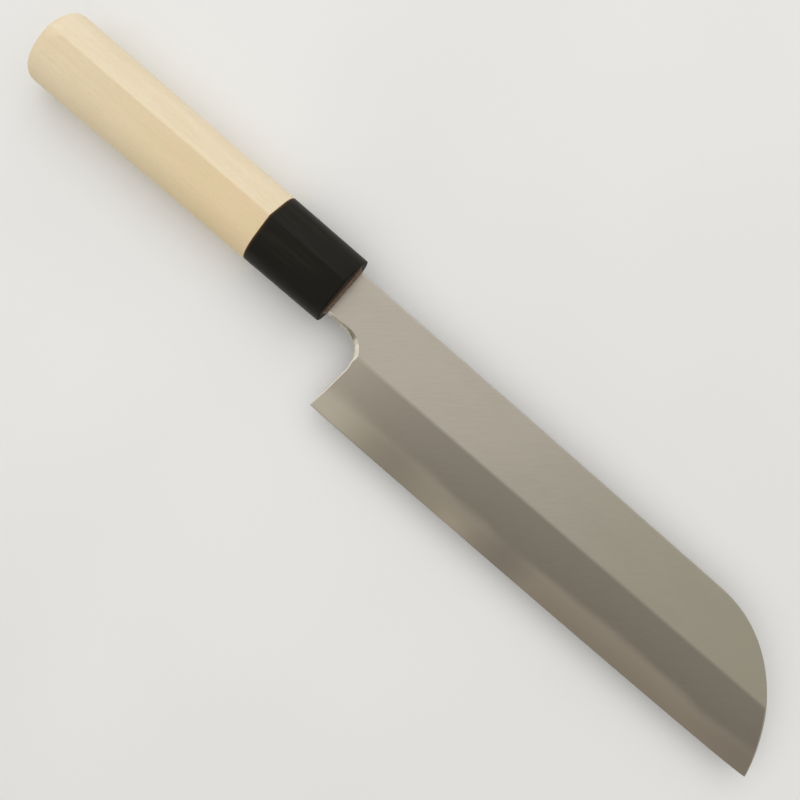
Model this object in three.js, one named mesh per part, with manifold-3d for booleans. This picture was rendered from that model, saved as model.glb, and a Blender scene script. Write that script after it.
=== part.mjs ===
// Kamagata usuba: a single-bevel Japanese vegetable knife with a curved end and a magnolia D-section handle.
// Millimetres. x runs from the butt to the tip, y up to the spine, z out of the bevelled face.
// While it is built, x = 0 is the ferrule's front, y = 0 the handle's axis and z = 0 the back of the blade.

import * as THREE from 'three';
import { mergeVertices } from 'three/addons/utils/BufferGeometryUtils.js';
import Module from 'manifold-3d';

const wasm = await Module();
wasm.setup();

// Blade outline
const edgeLength = 182.8;
const bladeHeight = 42.5;
const spineDrop = 0.86;
const spineCrown = 0.26;
const edgeBelly = 0.45;
const edgeBellyReach = 10.7;
const edgeTurn = 3.9;
const tipLift = 1.05;
const endCurveLength = 45.8;
const endCurveLead = 27;
const endCurveReach = 15.6;
const tipLean = THREE.MathUtils.degToRad(13.9);

// Neck, choil and heel
const neckLength = 15.5;
const neckHeight = 16.8;
const neckShift = -0.07;
const neckFlare = 0.73;
const choilSetback = 6;
const choilDrop = 8.7;
const heelHollow = 1.44;
const choilChamfer = 0.9;
const choilChamferFade = 16;
const spineChamfer = 0.35;
const spineChamferFade = 12;

// Blade thickness and bevel
const neckThickness = 3.8;
const tipThickness = 2.4;
const edgeLand = 0.12;
const bevelWidth = 21.3;
const bevelLineRise = 0.65;

// Steel plate on the back, with its wavy weld line and hollow grind
const steelThickness = 1.46;
const steelTipThickness = 1.0;
const steelLead = 7;
const weldGap = 0.04;
const longWave = { height: 0.078, length: 71.5, phase: 0.46 };
const shortWave = { height: 0.076, length: 57.5, phase: 0.58 };
const hollowDepth = 0.4;
const hollowRim = 2.4;
const hollowHeelRound = 14;
const hollowLeastHalf = 0.6;

// Tang
const tangLength = 95;
const shoulderClearance = 0.7;
const tangRootHeight = 11.5;
const tangTipHeight = 6;
const tangTipThickness = 2.4;

// Handle and ferrule
const gripLength = 91.2;
const ferruleLength = 30.6;
const buttHeight = 26.1;
const frontHeight = 24.7;
const buttDepth = 20.4;
const frontDepth = 19.4;
const buttDrop = 0.5;
const ridgeOffset = 2.5;
const ridgeRise = 1.5;
const ridgeRound = 0.4;
const buttRidgeRound = 7;
const buttRidgeFade = 8;
const ridgeBlendShare = 0.95;
const buttRound = 4;
const ferruleRound = 0.9;
const jointGap = 0.1;

// Tenon, bore, socket and seal
const tenonDiameter = 15;
const boreClearance = 0.2;
const frontWall = 5.2;
const socketClearance = 0.25;
const slotRoom = 0.8;
const slotCornerRadius = 0.7;
const sealGap = 0.06;
const sealDepth = 3;
const sealProud = 0.25;

// Facet counts, and the overshoot of cutting tools past what they cut
const outlineSteps = 26;
const curveSamples = 200;
const bladeStations = 48;
const hollowStations = 28;
const hollowArcSteps = 8;
const chamferStations = 30;
const sectionSteps = 14;
const roundSteps = 6;
const boreSegments = 32;
const cutterOvershoot = 1;
const bevelOvershoot = 0.3;

// Places worked out from the dimensions
const tipX = neckLength + edgeLength;
const spineRise = neckShift + neckHeight / 2;
const neckUnderside = neckShift - neckHeight / 2;
const heelY = spineRise - bladeHeight;
const shoulderDepth = frontWall - shoulderClearance;
const steelStart = neckLength - steelLead;
const jointX = -ferruleLength;
const buttX = jointX - gripLength;
const handleAxisZ = neckThickness / 2;
const bevelLineHeelY = heelY + bevelWidth;
const tangTipRadius = tangTipHeight / 2;

// Curves of the outline, all running with the blade on their left
const tip = new THREE.Vector2(tipX, heelY + tipLift);
const spineStart = new THREE.Vector2(0, spineRise);
const spineEnd = new THREE.Vector2(tipX - endCurveLength, spineRise - spineDrop);
const spineControl = spineStart.clone().lerp(spineEnd, 0.5).add(new THREE.Vector2(0, spineCrown));
const spineDirection = spineEnd.clone().sub(spineControl).normalize();
const tipDirection = new THREE.Vector2(Math.sin(tipLean), -Math.cos(tipLean));

const edgeCurve = new THREE.CubicBezierCurve(
  new THREE.Vector2(neckLength, heelY),
  new THREE.Vector2(neckLength + edgeBellyReach, heelY - edgeBelly),
  new THREE.Vector2(tipX - edgeTurn, heelY - edgeBelly),
  tip,
);
const endCurve = new THREE.CubicBezierCurve(
  tip,
  tip.clone().addScaledVector(tipDirection, -endCurveReach),
  spineEnd.clone().addScaledVector(spineDirection, endCurveLead),
  spineEnd,
);
const spineCurve = new THREE.QuadraticBezierCurve(spineEnd, spineControl, spineStart);
const choilStart = new THREE.Vector2(neckLength - choilSetback, neckUnderside - neckFlare);
const choilCurve = new THREE.EllipseCurve(
  choilStart.x, choilStart.y - choilDrop, choilSetback + heelHollow, choilDrop, Math.PI / 2, 0, true,
);
const heelTop = choilCurve.getPoint(1);

// Height of a curve above a place along the knife, held level past the curve's ends
function curveHeight(curve, x) {
  const points = curve.getPoints(curveSamples).sort((a, b) => a.x - b.x);
  const inside = THREE.MathUtils.clamp(x, points[0].x, points[curveSamples].x);
  const next = Math.max(1, points.findIndex((point) => point.x >= inside));
  const before = points[next - 1];
  const after = points[next];
  return THREE.MathUtils.mapLinear(inside, before.x, after.x, before.y, after.y);
}

function edgeHeight(x) {
  return curveHeight(edgeCurve, x);
}

function topHeight(x) {
  return x < spineEnd.x ? curveHeight(spineCurve, x) : curveHeight(endCurve, x);
}

// Height of the line where the flat face breaks into the bevel
function bevelLine(x) {
  return THREE.MathUtils.mapLinear(x, neckLength, tipX, bevelLineHeelY, bevelLineHeelY + bevelLineRise);
}

function flatThickness(x) {
  return THREE.MathUtils.mapLinear(x, 0, tipX, neckThickness, tipThickness);
}

// Thickness of the blade at a point: level on the flat face, falling to the edge on the bevel
function bladeThickness(x, y) {
  const flat = flatThickness(x);
  if (y >= bevelLine(x)) return flat;
  return THREE.MathUtils.mapLinear(y, edgeHeight(x), bevelLine(x), edgeLand, flat);
}

function wave(x, { height, length, phase }) {
  return height * Math.sin(2 * Math.PI * (x / length + phase));
}

function weldHeight(x) {
  const steady = THREE.MathUtils.mapLinear(x, 0, tipX, steelThickness, steelTipThickness);
  return steady + wave(x, longWave) + wave(x, shortWave);
}

function tangThickness(x) {
  return THREE.MathUtils.mapLinear(x, -shoulderDepth, -tangLength, neckThickness, tangTipThickness);
}

function tangHeight(x) {
  return THREE.MathUtils.mapLinear(x, -shoulderDepth, -tangLength, tangRootHeight, tangTipHeight);
}

function spread(from, to, count) {
  return Array.from({ length: count + 1 }, (_, i) => THREE.MathUtils.lerp(from, to, i / count));
}

// Closed solid through rings of equal counts; each ring turns anticlockwise as seen from the last ring's end
function loft(rings) {
  const count = rings[0].length;
  const positions = rings.flat().flatMap((point) => point.toArray());
  const indices = [];
  for (let ring = 0; ring < rings.length - 1; ring += 1) {
    for (let side = 0; side < count; side += 1) {
      const a = ring * count + side;
      const b = ring * count + (side + 1) % count;
      indices.push(a, b, b + count, a, b + count, a + count);
    }
  }
  const last = (rings.length - 1) * count;
  for (let side = 1; side < count - 1; side += 1) {
    indices.push(0, side + 1, side);
    indices.push(last, last + side, last + side + 1);
  }
  const geometry = new THREE.BufferGeometry();
  geometry.setAttribute('position', new THREE.Float32BufferAttribute(positions, 3));
  geometry.setIndex(indices);
  return geometry;
}

function ringAt(x, points) {
  return points.map(([y, z]) => new THREE.Vector3(x, y, z));
}

function rectangleRing(x, lowY, highY, lowZ, highZ) {
  return ringAt(x, [[lowY, lowZ], [highY, lowZ], [highY, highZ], [lowY, highZ]]);
}

// Turns a shape drawn in (y, z) and extruded into one that runs along x
function alongKnife(geometry) {
  const yAxis = new THREE.Vector3(0, 1, 0);
  const zAxis = new THREE.Vector3(0, 0, 1);
  const xAxis = new THREE.Vector3(1, 0, 0);
  return geometry.applyMatrix4(new THREE.Matrix4().makeBasis(yAxis, zAxis, xAxis));
}

function toSolid(geometry) {
  const bare = geometry.clone();
  bare.deleteAttribute('normal');
  bare.deleteAttribute('uv');
  const merged = mergeVertices(bare);
  return new wasm.Manifold(new wasm.Mesh({
    numProp: 3,
    vertProperties: new Float32Array(merged.attributes.position.array),
    triVerts: new Uint32Array(merged.index.array),
  }));
}

function toGeometry(solid) {
  const mesh = solid.getMesh();
  const geometry = new THREE.BufferGeometry();
  geometry.setAttribute('position', new THREE.BufferAttribute(new Float32Array(mesh.vertProperties), 3));
  geometry.setIndex(new THREE.BufferAttribute(new Uint32Array(mesh.triVerts), 1));
  geometry.computeVertexNormals();
  return geometry;
}

// Blade outline with its neck, shoulders and tang
function bladeOutline() {
  const outline = new THREE.Shape();
  const tangTipX = -tangLength + tangTipRadius;
  const shoulderHalf = tangRootHeight / 2;
  outline.moveTo(tangTipX, neckShift - tangTipRadius);
  outline.lineTo(-shoulderDepth, neckShift - shoulderHalf);
  outline.lineTo(-shoulderDepth, neckUnderside);
  outline.lineTo(0, neckUnderside);
  outline.lineTo(choilStart.x, choilStart.y);
  outline.curves.push(choilCurve);
  outline.currentPoint.copy(heelTop);
  outline.lineTo(neckLength, heelY);
  outline.curves.push(edgeCurve, endCurve, spineCurve);
  outline.currentPoint.copy(spineStart);
  outline.lineTo(-shoulderDepth, spineRise);
  outline.lineTo(-shoulderDepth, neckShift + shoulderHalf);
  outline.lineTo(tangTipX, neckShift + tangTipRadius);
  outline.absarc(tangTipX, neckShift, tangTipRadius, Math.PI / 2, 3 * Math.PI / 2, false);
  return outline;
}

// The space under the flat face and the bevel, above the back; the tang thins evenly on both faces
function groundSpace() {
  const top = spineRise + cutterOvershoot;
  const bottom = heelY - edgeBelly;
  const tangRings = [-tangLength - cutterOvershoot, -shoulderDepth].map((x) => {
    const low = handleAxisZ - tangThickness(x) / 2;
    const high = handleAxisZ + tangThickness(x) / 2;
    return ringAt(x, [[bottom, low], [top, low], [top, high], [bottom + bevelWidth, high], [bottom, high]]);
  });
  const bladeRings = [0, ...spread(neckLength, tipX + cutterOvershoot, bladeStations)].map((x) => {
    const low = edgeHeight(x) - bevelOvershoot;
    const line = bevelLine(x);
    const flat = flatThickness(x);
    return ringAt(x, [[low, 0], [top, 0], [top, flat], [line, flat], [low, bladeThickness(x, low)]]);
  });
  return toSolid(loft([...tangRings, ...bladeRings]));
}

// Wedge that breaks one corner of the outline along a path, fading out over a length at either end.
// side is 1 for the bevelled face and -1 for the back.
function chamferCutter(path, fullSize, fadeIn, fadeOut, side) {
  const length = path.getLength();
  const rings = spread(0, 1, chamferStations).map((along) => {
    const point = path.getPointAt(along);
    const tangent = path.getTangentAt(along);
    const inward = new THREE.Vector3(-tangent.y, tangent.x, 0);
    const outwards = new THREE.Vector3(0, 0, side);
    const fade = Math.min(1, along * length / fadeIn, (1 - along) * length / fadeOut);
    const size = fullSize * fade;
    const face = side > 0 ? bladeThickness(point.x, point.y) : 0;
    const corner = new THREE.Vector3(point.x, point.y, face);
    const slope = inward.clone().add(outwards);
    const onFace = corner.clone().addScaledVector(inward, size).addScaledVector(slope, cutterOvershoot);
    const onWall = corner.clone().addScaledVector(outwards, -size).addScaledVector(slope, -cutterOvershoot);
    const outside = corner.clone().addScaledVector(outwards, cutterOvershoot + size)
      .addScaledVector(inward, -cutterOvershoot - size);
    return side > 0 ? [onFace, outside, onWall] : [onWall, outside, onFace];
  });
  return toSolid(loft(rings));
}

// Lower corner of the neck, round the choil and fading out down the heel
function choilPath() {
  const path = new THREE.Path();
  path.moveTo(-shoulderDepth, neckUnderside);
  path.lineTo(0, neckUnderside);
  path.lineTo(choilStart.x, choilStart.y);
  path.curves.push(choilCurve);
  path.currentPoint.copy(heelTop);
  path.lineTo(neckLength, heelY);
  return path;
}

// Spine corner from where the bevel line meets the curved end back to the neck
function spinePath() {
  const path = new THREE.Path();
  const points = endCurve.getPoints(outlineSteps).filter((point) => point.y > bevelLine(point.x));
  path.setFromPoints(points);
  path.curves.push(spineCurve);
  path.currentPoint.copy(spineStart);
  path.lineTo(-shoulderDepth, spineRise);
  return path;
}

// Shallow hollow ground into the back, as by a wheel of one radius, inside a flat rim
function hollowSpace() {
  const start = neckLength + heelHollow + hollowRim;
  const end = tipX - hollowRim;
  const fullWidth = topHeight(spineEnd.x) - edgeHeight(spineEnd.x) - 2 * hollowRim;
  const rings = [];
  for (const x of spread(start, end, hollowStations)) {
    const run = Math.min(1, (x - start) / hollowHeelRound);
    const heelRound = Math.sqrt(run * (2 - run));
    const low = edgeHeight(x) + hollowRim;
    const high = topHeight(x + hollowRim * run) - hollowRim;
    const middle = (low + high) / 2;
    const half = (high - low) / 2 * heelRound;
    if (half < hollowLeastHalf) continue;
    const depth = hollowDepth * (2 * half / fullWidth) ** 2;
    const arc = spread(1, -1, hollowArcSteps).map((across) => (
      [middle + half * across, depth * (1 - across ** 2)]
    ));
    rings.push(ringAt(x, [[middle - half, -cutterOvershoot], [middle + half, -cutterOvershoot], ...arc]));
  }
  return toSolid(loft(rings));
}

// The whole blade as ground, before the weld line divides it
function groundBlade() {
  const plate = new THREE.ExtrudeGeometry(bladeOutline(), {
    depth: neckThickness + 2 * cutterOvershoot,
    bevelEnabled: false,
    curveSegments: outlineSteps,
  });
  plate.translate(0, 0, -cutterOvershoot);
  const bothFaces = [1, -1];
  const chamfers = bothFaces.flatMap((side) => [
    chamferCutter(choilPath(), choilChamfer, shoulderDepth, choilChamferFade, side),
    chamferCutter(spinePath(), spineChamfer, spineChamferFade, shoulderDepth, side),
  ]);
  const ground = toSolid(plate).intersect(groundSpace()).subtract(hollowSpace());
  return chamfers.reduce((blank, cutter) => blank.subtract(cutter), ground);
}

// Everything on the back's side of the weld line, raised and lengthened by an allowance
function steelSpace(allowance) {
  const low = heelY - bladeHeight;
  const high = spineRise + cutterOvershoot;
  const rings = spread(steelStart - allowance, tipX + cutterOvershoot, bladeStations).map((x) => (
    rectangleRing(x, low, high, -cutterOvershoot, weldHeight(x) + allowance)
  ));
  return toSolid(loft(rings));
}

// Length of each facet that the ridge's rounding takes up: a little, growing towards the butt
function ridgeBlend(x) {
  const softness = Math.max(0, 1 - (x - buttX) / buttRidgeFade);
  return THREE.MathUtils.lerp(ridgeRound, buttRidgeRound, softness);
}

// Where the ridge's rounding meets a facet that runs from the ridge to a point on the oval
function blendPoint(ridge, facetEnd, blend) {
  const facet = facetEnd.clone().sub(ridge);
  return facet.clampLength(0, Math.min(blend, ridgeBlendShare * facet.length())).add(ridge);
}

// D-shaped section: an oval with straight facets rising to one ridge on the bevelled face's side
function handleRing(x, inset) {
  const along = THREE.MathUtils.inverseLerp(buttX, 0, x);
  const halfHeight = THREE.MathUtils.lerp(buttHeight, frontHeight, along) / 2 - inset;
  const halfDepth = THREE.MathUtils.lerp(buttDepth, frontDepth, along) / 2 - inset;
  const middle = -buttDrop * (1 - along);
  const ridge = new THREE.Vector2(ridgeOffset - middle, halfDepth + ridgeRise);
  const reach = new THREE.Vector2(ridge.x / halfHeight, ridge.y / halfDepth);
  const opening = Math.acos(1 / reach.length());
  const upperAngle = reach.angle() - opening;
  const lowerAngle = reach.angle() + opening;
  const upper = new THREE.Vector2(halfHeight * Math.cos(upperAngle), halfDepth * Math.sin(upperAngle));
  const lower = new THREE.Vector2(halfHeight * Math.cos(lowerAngle), halfDepth * Math.sin(lowerAngle));
  const upperBlend = blendPoint(ridge, upper, ridgeBlend(x));
  const lowerBlend = blendPoint(ridge, lower, ridgeBlend(x));
  const section = new THREE.Shape();
  section.absellipse(0, 0, halfHeight, halfDepth, lowerAngle, upperAngle + 2 * Math.PI, false);
  section.lineTo(upperBlend.x, upperBlend.y);
  section.quadraticCurveTo(ridge.x, ridge.y, lowerBlend.x, lowerBlend.y);
  const points = section.getPoints(sectionSteps);
  return ringAt(x, points.map((point) => [point.x + middle, point.y + handleAxisZ]));
}

// Rounded end of the handle: rings from an end face at x, inwards over a quarter circle
function roundedEnd(x, radius, direction) {
  return spread(0, Math.PI / 2, roundSteps).map((angle) => (
    handleRing(x + direction * radius * (1 - Math.cos(angle)), radius * (1 - Math.sin(angle)))
  ));
}

// Round rod along the knife, centred on the handle's axis
function axisRod(diameter, fromX, toX) {
  const rod = new THREE.CylinderGeometry(diameter / 2, diameter / 2, toX - fromX, boreSegments);
  rod.rotateZ(-Math.PI / 2);
  rod.translate((fromX + toX) / 2, neckShift, handleAxisZ);
  return toSolid(rod);
}

function tangSocket() {
  const stations = [-tangLength - socketClearance, -frontWall + cutterOvershoot];
  const rings = stations.map((x) => {
    const halfHeight = tangHeight(x) / 2 + socketClearance;
    const halfThickness = tangThickness(x) / 2 + socketClearance;
    return rectangleRing(x, neckShift - halfHeight, neckShift + halfHeight,
      handleAxisZ - halfThickness, handleAxisZ + halfThickness);
  });
  return toSolid(loft(rings));
}

// Outline of the ferrule's mouth round the neck, grown from the neck by an allowance
function mouthOutline(allowance, cornerRadius) {
  const cornerY = neckHeight / 2 + allowance - cornerRadius;
  const cornerZ = neckThickness / 2 + allowance - cornerRadius;
  const signs = [[1, 1], [-1, 1], [-1, -1], [1, -1]];
  const outline = new THREE.Shape();
  signs.forEach(([signY, signZ], quarter) => {
    const from = quarter * Math.PI / 2;
    outline.absarc(neckShift + signY * cornerY, handleAxisZ + signZ * cornerZ, cornerRadius,
      from, from + Math.PI / 2, false);
  });
  return outline;
}

function mouthSlot() {
  const depth = frontWall + 2 * cutterOvershoot;
  const slot = new THREE.ExtrudeGeometry(mouthOutline(slotRoom, slotCornerRadius), {
    depth,
    bevelEnabled: false,
    curveSegments: roundSteps,
  });
  return toSolid(alongKnife(slot).translate(-frontWall - cutterOvershoot, 0, 0));
}

function handleGeometry() {
  const buttRings = [...roundedEnd(buttX, buttRound, 1), handleRing(buttX + buttRidgeFade, 0)];
  const grip = loft([...buttRings, handleRing(jointX - jointGap, 0)]);
  const tenon = axisRod(tenonDiameter, jointX - tenonDiameter, -frontWall - jointGap);
  return toGeometry(toSolid(grip).add(tenon).subtract(tangSocket()));
}

function ferruleGeometry() {
  const ring = loft([handleRing(jointX, 0), ...roundedEnd(0, ferruleRound, -1).reverse()]);
  const bore = axisRod(tenonDiameter + 2 * boreClearance, jointX - cutterOvershoot, -frontWall);
  return toGeometry(toSolid(ring).subtract(bore).subtract(mouthSlot()));
}

function sealGeometry() {
  const outline = mouthOutline(slotRoom - sealGap, slotCornerRadius - sealGap);
  const neck = new THREE.Path();
  const halfHeight = neckHeight / 2 + sealGap;
  const halfThickness = neckThickness / 2 + sealGap;
  neck.moveTo(neckShift - halfHeight, handleAxisZ - halfThickness);
  neck.lineTo(neckShift - halfHeight, handleAxisZ + halfThickness);
  neck.lineTo(neckShift + halfHeight, handleAxisZ + halfThickness);
  neck.lineTo(neckShift + halfHeight, handleAxisZ - halfThickness);
  outline.holes.push(neck);
  const ring = new THREE.ExtrudeGeometry(outline, {
    depth: sealDepth + sealProud,
    bevelEnabled: false,
    curveSegments: roundSteps,
  });
  return alongKnife(ring).translate(-sealDepth, 0, 0);
}

function piece(name, geometry, color, roughness, metalness) {
  const mesh = new THREE.Mesh(geometry, new THREE.MeshStandardMaterial({ color, roughness, metalness }));
  mesh.name = name;
  return mesh;
}

const blade = groundBlade();
const knife = new THREE.Group();
knife.add(
  piece('blade_iron', toGeometry(blade.subtract(steelSpace(weldGap))), 0xa49e93, 0.45, 1),
  piece('edge_steel', toGeometry(blade.intersect(steelSpace(0))), 0x96897a, 0.3, 1),
  piece('handle', handleGeometry(), 0xe6d7b0, 0.6, 0),
  piece('ferrule', ferruleGeometry(), 0x15130f, 0.25, 0),
  piece('tang_seal', sealGeometry(), 0x4a3424, 0.5, 0),
);

// The knife lies on its back: the origin is under the middle of its box, on the surface it lies on
const box = new THREE.Box3().setFromObject(knife);
const centre = box.getCenter(new THREE.Vector3());
knife.position.set(-centre.x, -centre.y, -box.min.z);

const model = new THREE.Group();
model.add(knife);

export default model;
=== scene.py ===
# Looks of the kamagata usuba: a laminated single-bevel blade, a horn ferrule and a magnolia handle.
# Sizes are millimetres in the knife's own frame: x runs from the ferrule's front to the tip, y up to the
# spine and z out of the bevelled face, with z = 0 on the blade's back. Meshes are placed in metres.

import math

import bmesh
import bpy
import numpy as np
from mathutils import Color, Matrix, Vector, geometry


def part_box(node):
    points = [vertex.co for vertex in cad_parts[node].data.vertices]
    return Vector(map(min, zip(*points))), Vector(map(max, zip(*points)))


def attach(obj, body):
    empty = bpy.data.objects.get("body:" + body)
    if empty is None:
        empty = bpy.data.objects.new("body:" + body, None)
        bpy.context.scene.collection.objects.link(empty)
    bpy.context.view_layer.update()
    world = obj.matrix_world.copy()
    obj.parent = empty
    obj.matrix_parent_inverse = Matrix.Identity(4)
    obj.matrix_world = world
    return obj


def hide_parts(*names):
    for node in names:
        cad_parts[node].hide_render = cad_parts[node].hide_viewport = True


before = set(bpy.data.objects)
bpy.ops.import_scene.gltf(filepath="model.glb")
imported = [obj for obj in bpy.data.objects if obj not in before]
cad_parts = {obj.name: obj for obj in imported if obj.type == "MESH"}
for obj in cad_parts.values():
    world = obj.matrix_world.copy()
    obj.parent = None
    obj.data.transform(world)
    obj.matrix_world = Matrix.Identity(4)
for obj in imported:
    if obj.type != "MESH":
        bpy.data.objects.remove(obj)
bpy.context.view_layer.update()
MM = 0.001

# Blade outline
BLADE_HEIGHT = 42.5
SPINE_DROP = 0.86
SPINE_CROWN = 0.26
EDGE_BELLY = 0.45
EDGE_BELLY_REACH = 10.7
EDGE_TURN = 3.9
TIP_LIFT = 1.05
END_CURVE_LENGTH = 45.8
END_CURVE_LEAD = 27
END_CURVE_REACH = 15.6
TIP_LEAN = math.radians(13.9)
NECK_LENGTH = 15.5
NECK_HEIGHT = 16.8
NECK_SHIFT = -0.07
NECK_FLARE = 0.73
CHOIL_SETBACK = 6
CHOIL_DROP = 8.7
HEEL_HOLLOW = 1.44

# Blade faces, corners and the hollow in the back
TIP_THICKNESS = 2.4
EDGE_LAND = 0.12
BEVEL_WIDTH = 21.3
BEVEL_LINE_RISE = 0.65
BEVEL_LINE_SOFTNESS = 0.5
CHOIL_ROUND = 1.6
CORNER_SLANT = 0.5
CORNER_FLATNESS = 1.5
NECK_ROUND = 0.9
HEEL_ROUND = 0.3
HEEL_ROUND_START = -15.5
SPINE_ROUND = 0.35
SPINE_ROUND_FADE = 12
BARE_ROUND = 0.03
KEEN_WIDTH = 0.4
KEEN_FADE = 2
KEEN_LAND = 0.02
HOLLOW_DEPTH = 0.4
HOLLOW_RIM = 2.4
HOLLOW_HEEL_ROUND = 14
HOLLOW_LEAST_HALF = 0.6

# Steel plate and its weld line, whose waves have a height, a length and a phase in turns
STEEL_THICKNESS = 1.46
STEEL_TIP_THICKNESS = 1.0
WAVES = ((0.078, 71.5, 0.46), (0.076, 57.5, 0.58))

# Tang, tenon, socket and mouth
SHOULDER_DEPTH = 4.5
TANG_ROOT_HEIGHT = 11.5
TANG_TIP_HEIGHT = 6
TANG_TIP_THICKNESS = 2.4
TENON_DIAMETER = 15
BORE_CLEARANCE = 0.2
FRONT_WALL = 5.2
SOCKET_CLEARANCE = 0.25
SLOT_ROOM = 0.8
SLOT_CORNER = 0.7
SEAL_GAP = 0.06
SEAL_BEAD = 0.8
JOINT_GAP = 0.1

# Handle section, a skin's depth inside the CAD
BUTT_HEIGHT = 26.1
FRONT_HEIGHT = 24.7
BUTT_DEPTH = 20.4
FRONT_DEPTH = 19.4
BUTT_DROP = 0.5
RIDGE_OFFSET = 2.5
RIDGE_RISE = 1.5
RIDGE_ROUND = 0.4
BUTT_RIDGE_ROUND = 7
BUTT_RIDGE_FADE = 8
RIDGE_BLEND_SHARE = 0.95
SKIN = 0.06
BUTT_ROUND = 4
FERRULE_ROUND = 0.4
JOINT_ROUND = 0.18

# Mesh fineness
OUTLINE_SPACING = 0.45
FACE_SPACING = 3.0
FACE_MARGIN = FACE_SPACING / 3
LINE_SPACING = 1.0
HOLLOW_SPACING = 1.5
HOLLOW_ROWS = 24
WELD_SPACING = 0.6
ROUND_STEPS = 6
CURVE_STEPS = 200
SUPPORT_INSET = 0.15
OVAL_STEPS = 72
RIDGE_STEPS = 8
FACET_STEPS = 4
GRIP_SPACING = 6
SHARP_ANGLE = math.radians(28)
TOOL_OVERSHOOT = 1

# Blender's number for a fill that stays inside its outline, and the tolerance of that fill
FILL_INSIDE = 1
FILL_TOLERANCE = 1e-6

# Camera, placed in the knife's frame as the photograph's perspective asks
CAMERA_PLACE = Vector((36.3, -14.18, 287.6))
CAMERA_ROLL = math.radians(40.885)
CAMERA_LENS = 40.5
CAMERA_SENSOR = 36
CAMERA_CLIP = 10

# Places worked out from the frame
SPINE_RISE = NECK_SHIFT + NECK_HEIGHT / 2
ORIGIN = Vector((
    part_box("ferrule")[1].x,
    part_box("blade_iron")[1].y - SPINE_RISE * MM,
    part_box("edge_steel")[0].z,
))


def knife_box(node):
    """Lowest and highest corner of a CAD node, in millimetres in the knife's own frame."""
    return [(corner - ORIGIN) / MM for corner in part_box(node)]


TIP_X = knife_box("edge_steel")[1].x
STEEL_START = knife_box("edge_steel")[0].x
TANG_END = knife_box("blade_iron")[0].x
NECK_THICKNESS = knife_box("blade_iron")[1].z
JOINT_X = knife_box("ferrule")[0].x
BUTT_X = knife_box("handle")[0].x
SEAL_BACK = knife_box("tang_seal")[0].x
SEAL_FRONT = knife_box("tang_seal")[1].x + SEAL_BEAD
NECK_UNDERSIDE = NECK_SHIFT - NECK_HEIGHT / 2
HEEL_Y = SPINE_RISE - BLADE_HEIGHT
BEVEL_HEEL_Y = HEEL_Y + BEVEL_WIDTH
AXIS_Z = NECK_THICKNESS / 2


# Curves of the blade's outline

def bezier(*controls):
    """Points along a Bezier curve of any degree."""
    share = np.linspace(0, 1, CURVE_STEPS + 1)[:, None]
    layers = [np.array(control) + 0 * share for control in controls]
    while len(layers) > 1:
        layers = [(1 - share) * a + share * b for a, b in zip(layers, layers[1:])]
    return layers[0]


def path_lengths(points):
    """Distance along a path at each of its points."""
    return np.r_[0, np.cumsum(np.linalg.norm(np.diff(points, axis=0), axis=1))]


def resample(points, spacing):
    """The same path with evenly spaced points."""
    lengths = path_lengths(points)
    places = np.linspace(0, lengths[-1], max(1, round(lengths[-1] / spacing)) + 1)
    return np.column_stack([np.interp(places, lengths, points[:, axis]) for axis in (0, 1)])


TIP = np.array((TIP_X, HEEL_Y + TIP_LIFT))
SPINE_START = np.array((0, SPINE_RISE))
SPINE_END = np.array((TIP_X - END_CURVE_LENGTH, SPINE_RISE - SPINE_DROP))
SPINE_MIDDLE = (SPINE_START + SPINE_END) / 2 + (0, SPINE_CROWN)
SPINE_AIM = (SPINE_END - SPINE_MIDDLE) / np.linalg.norm(SPINE_END - SPINE_MIDDLE)
TIP_AIM = np.array((math.sin(TIP_LEAN), -math.cos(TIP_LEAN)))
HEEL = np.array((NECK_LENGTH, HEEL_Y))
EDGE = bezier(HEEL, HEEL + (EDGE_BELLY_REACH, -EDGE_BELLY), (TIP_X - EDGE_TURN, HEEL_Y - EDGE_BELLY), TIP)
END = bezier(TIP, TIP - END_CURVE_REACH * TIP_AIM, SPINE_END + END_CURVE_LEAD * SPINE_AIM, SPINE_END)
SPINE = bezier(SPINE_END, SPINE_MIDDLE, SPINE_START)
TOP = np.vstack((SPINE[::-1], END[::-1][1:]))
CHOIL_START = np.array((NECK_LENGTH - CHOIL_SETBACK, NECK_UNDERSIDE - NECK_FLARE))


def choil_path():
    """Lower corner of the neck, round the choil and down the heel."""
    turn = np.linspace(math.pi / 2, 0, CURVE_STEPS)
    arc = np.column_stack((
        CHOIL_START[0] + (CHOIL_SETBACK + HEEL_HOLLOW) * np.cos(turn),
        CHOIL_START[1] - CHOIL_DROP + CHOIL_DROP * np.sin(turn),
    ))
    return np.vstack(((-SHOULDER_DEPTH, NECK_UNDERSIDE), (0, NECK_UNDERSIDE), arc, HEEL))


def tang_path():
    """From the upper shoulder round the tang's tip to the lower shoulder."""
    radius = TANG_TIP_HEIGHT / 2
    turn = np.linspace(math.pi / 2, 3 * math.pi / 2, CURVE_STEPS)
    arc = np.column_stack((TANG_END + radius + radius * np.cos(turn), NECK_SHIFT + radius * np.sin(turn)))
    root = TANG_ROOT_HEIGHT / 2
    return np.vstack((
        (-SHOULDER_DEPTH, SPINE_RISE),
        (-SHOULDER_DEPTH, NECK_SHIFT + root),
        arc,
        (-SHOULDER_DEPTH, NECK_SHIFT - root),
        (-SHOULDER_DEPTH, NECK_UNDERSIDE),
    ))


# Heights of the blade's faces

def edge_y(x):
    """Height of the cutting edge's line."""
    return np.interp(x, EDGE[:, 0], EDGE[:, 1])


def top_y(x):
    """Height of the spine and of the end curve."""
    return np.interp(x, TOP[:, 0], TOP[:, 1])


def bevel_y(x):
    """Height of the line where the flat face breaks into the bevel."""
    return BEVEL_HEEL_Y + BEVEL_LINE_RISE * (x - NECK_LENGTH) / (TIP_X - NECK_LENGTH)


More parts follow.
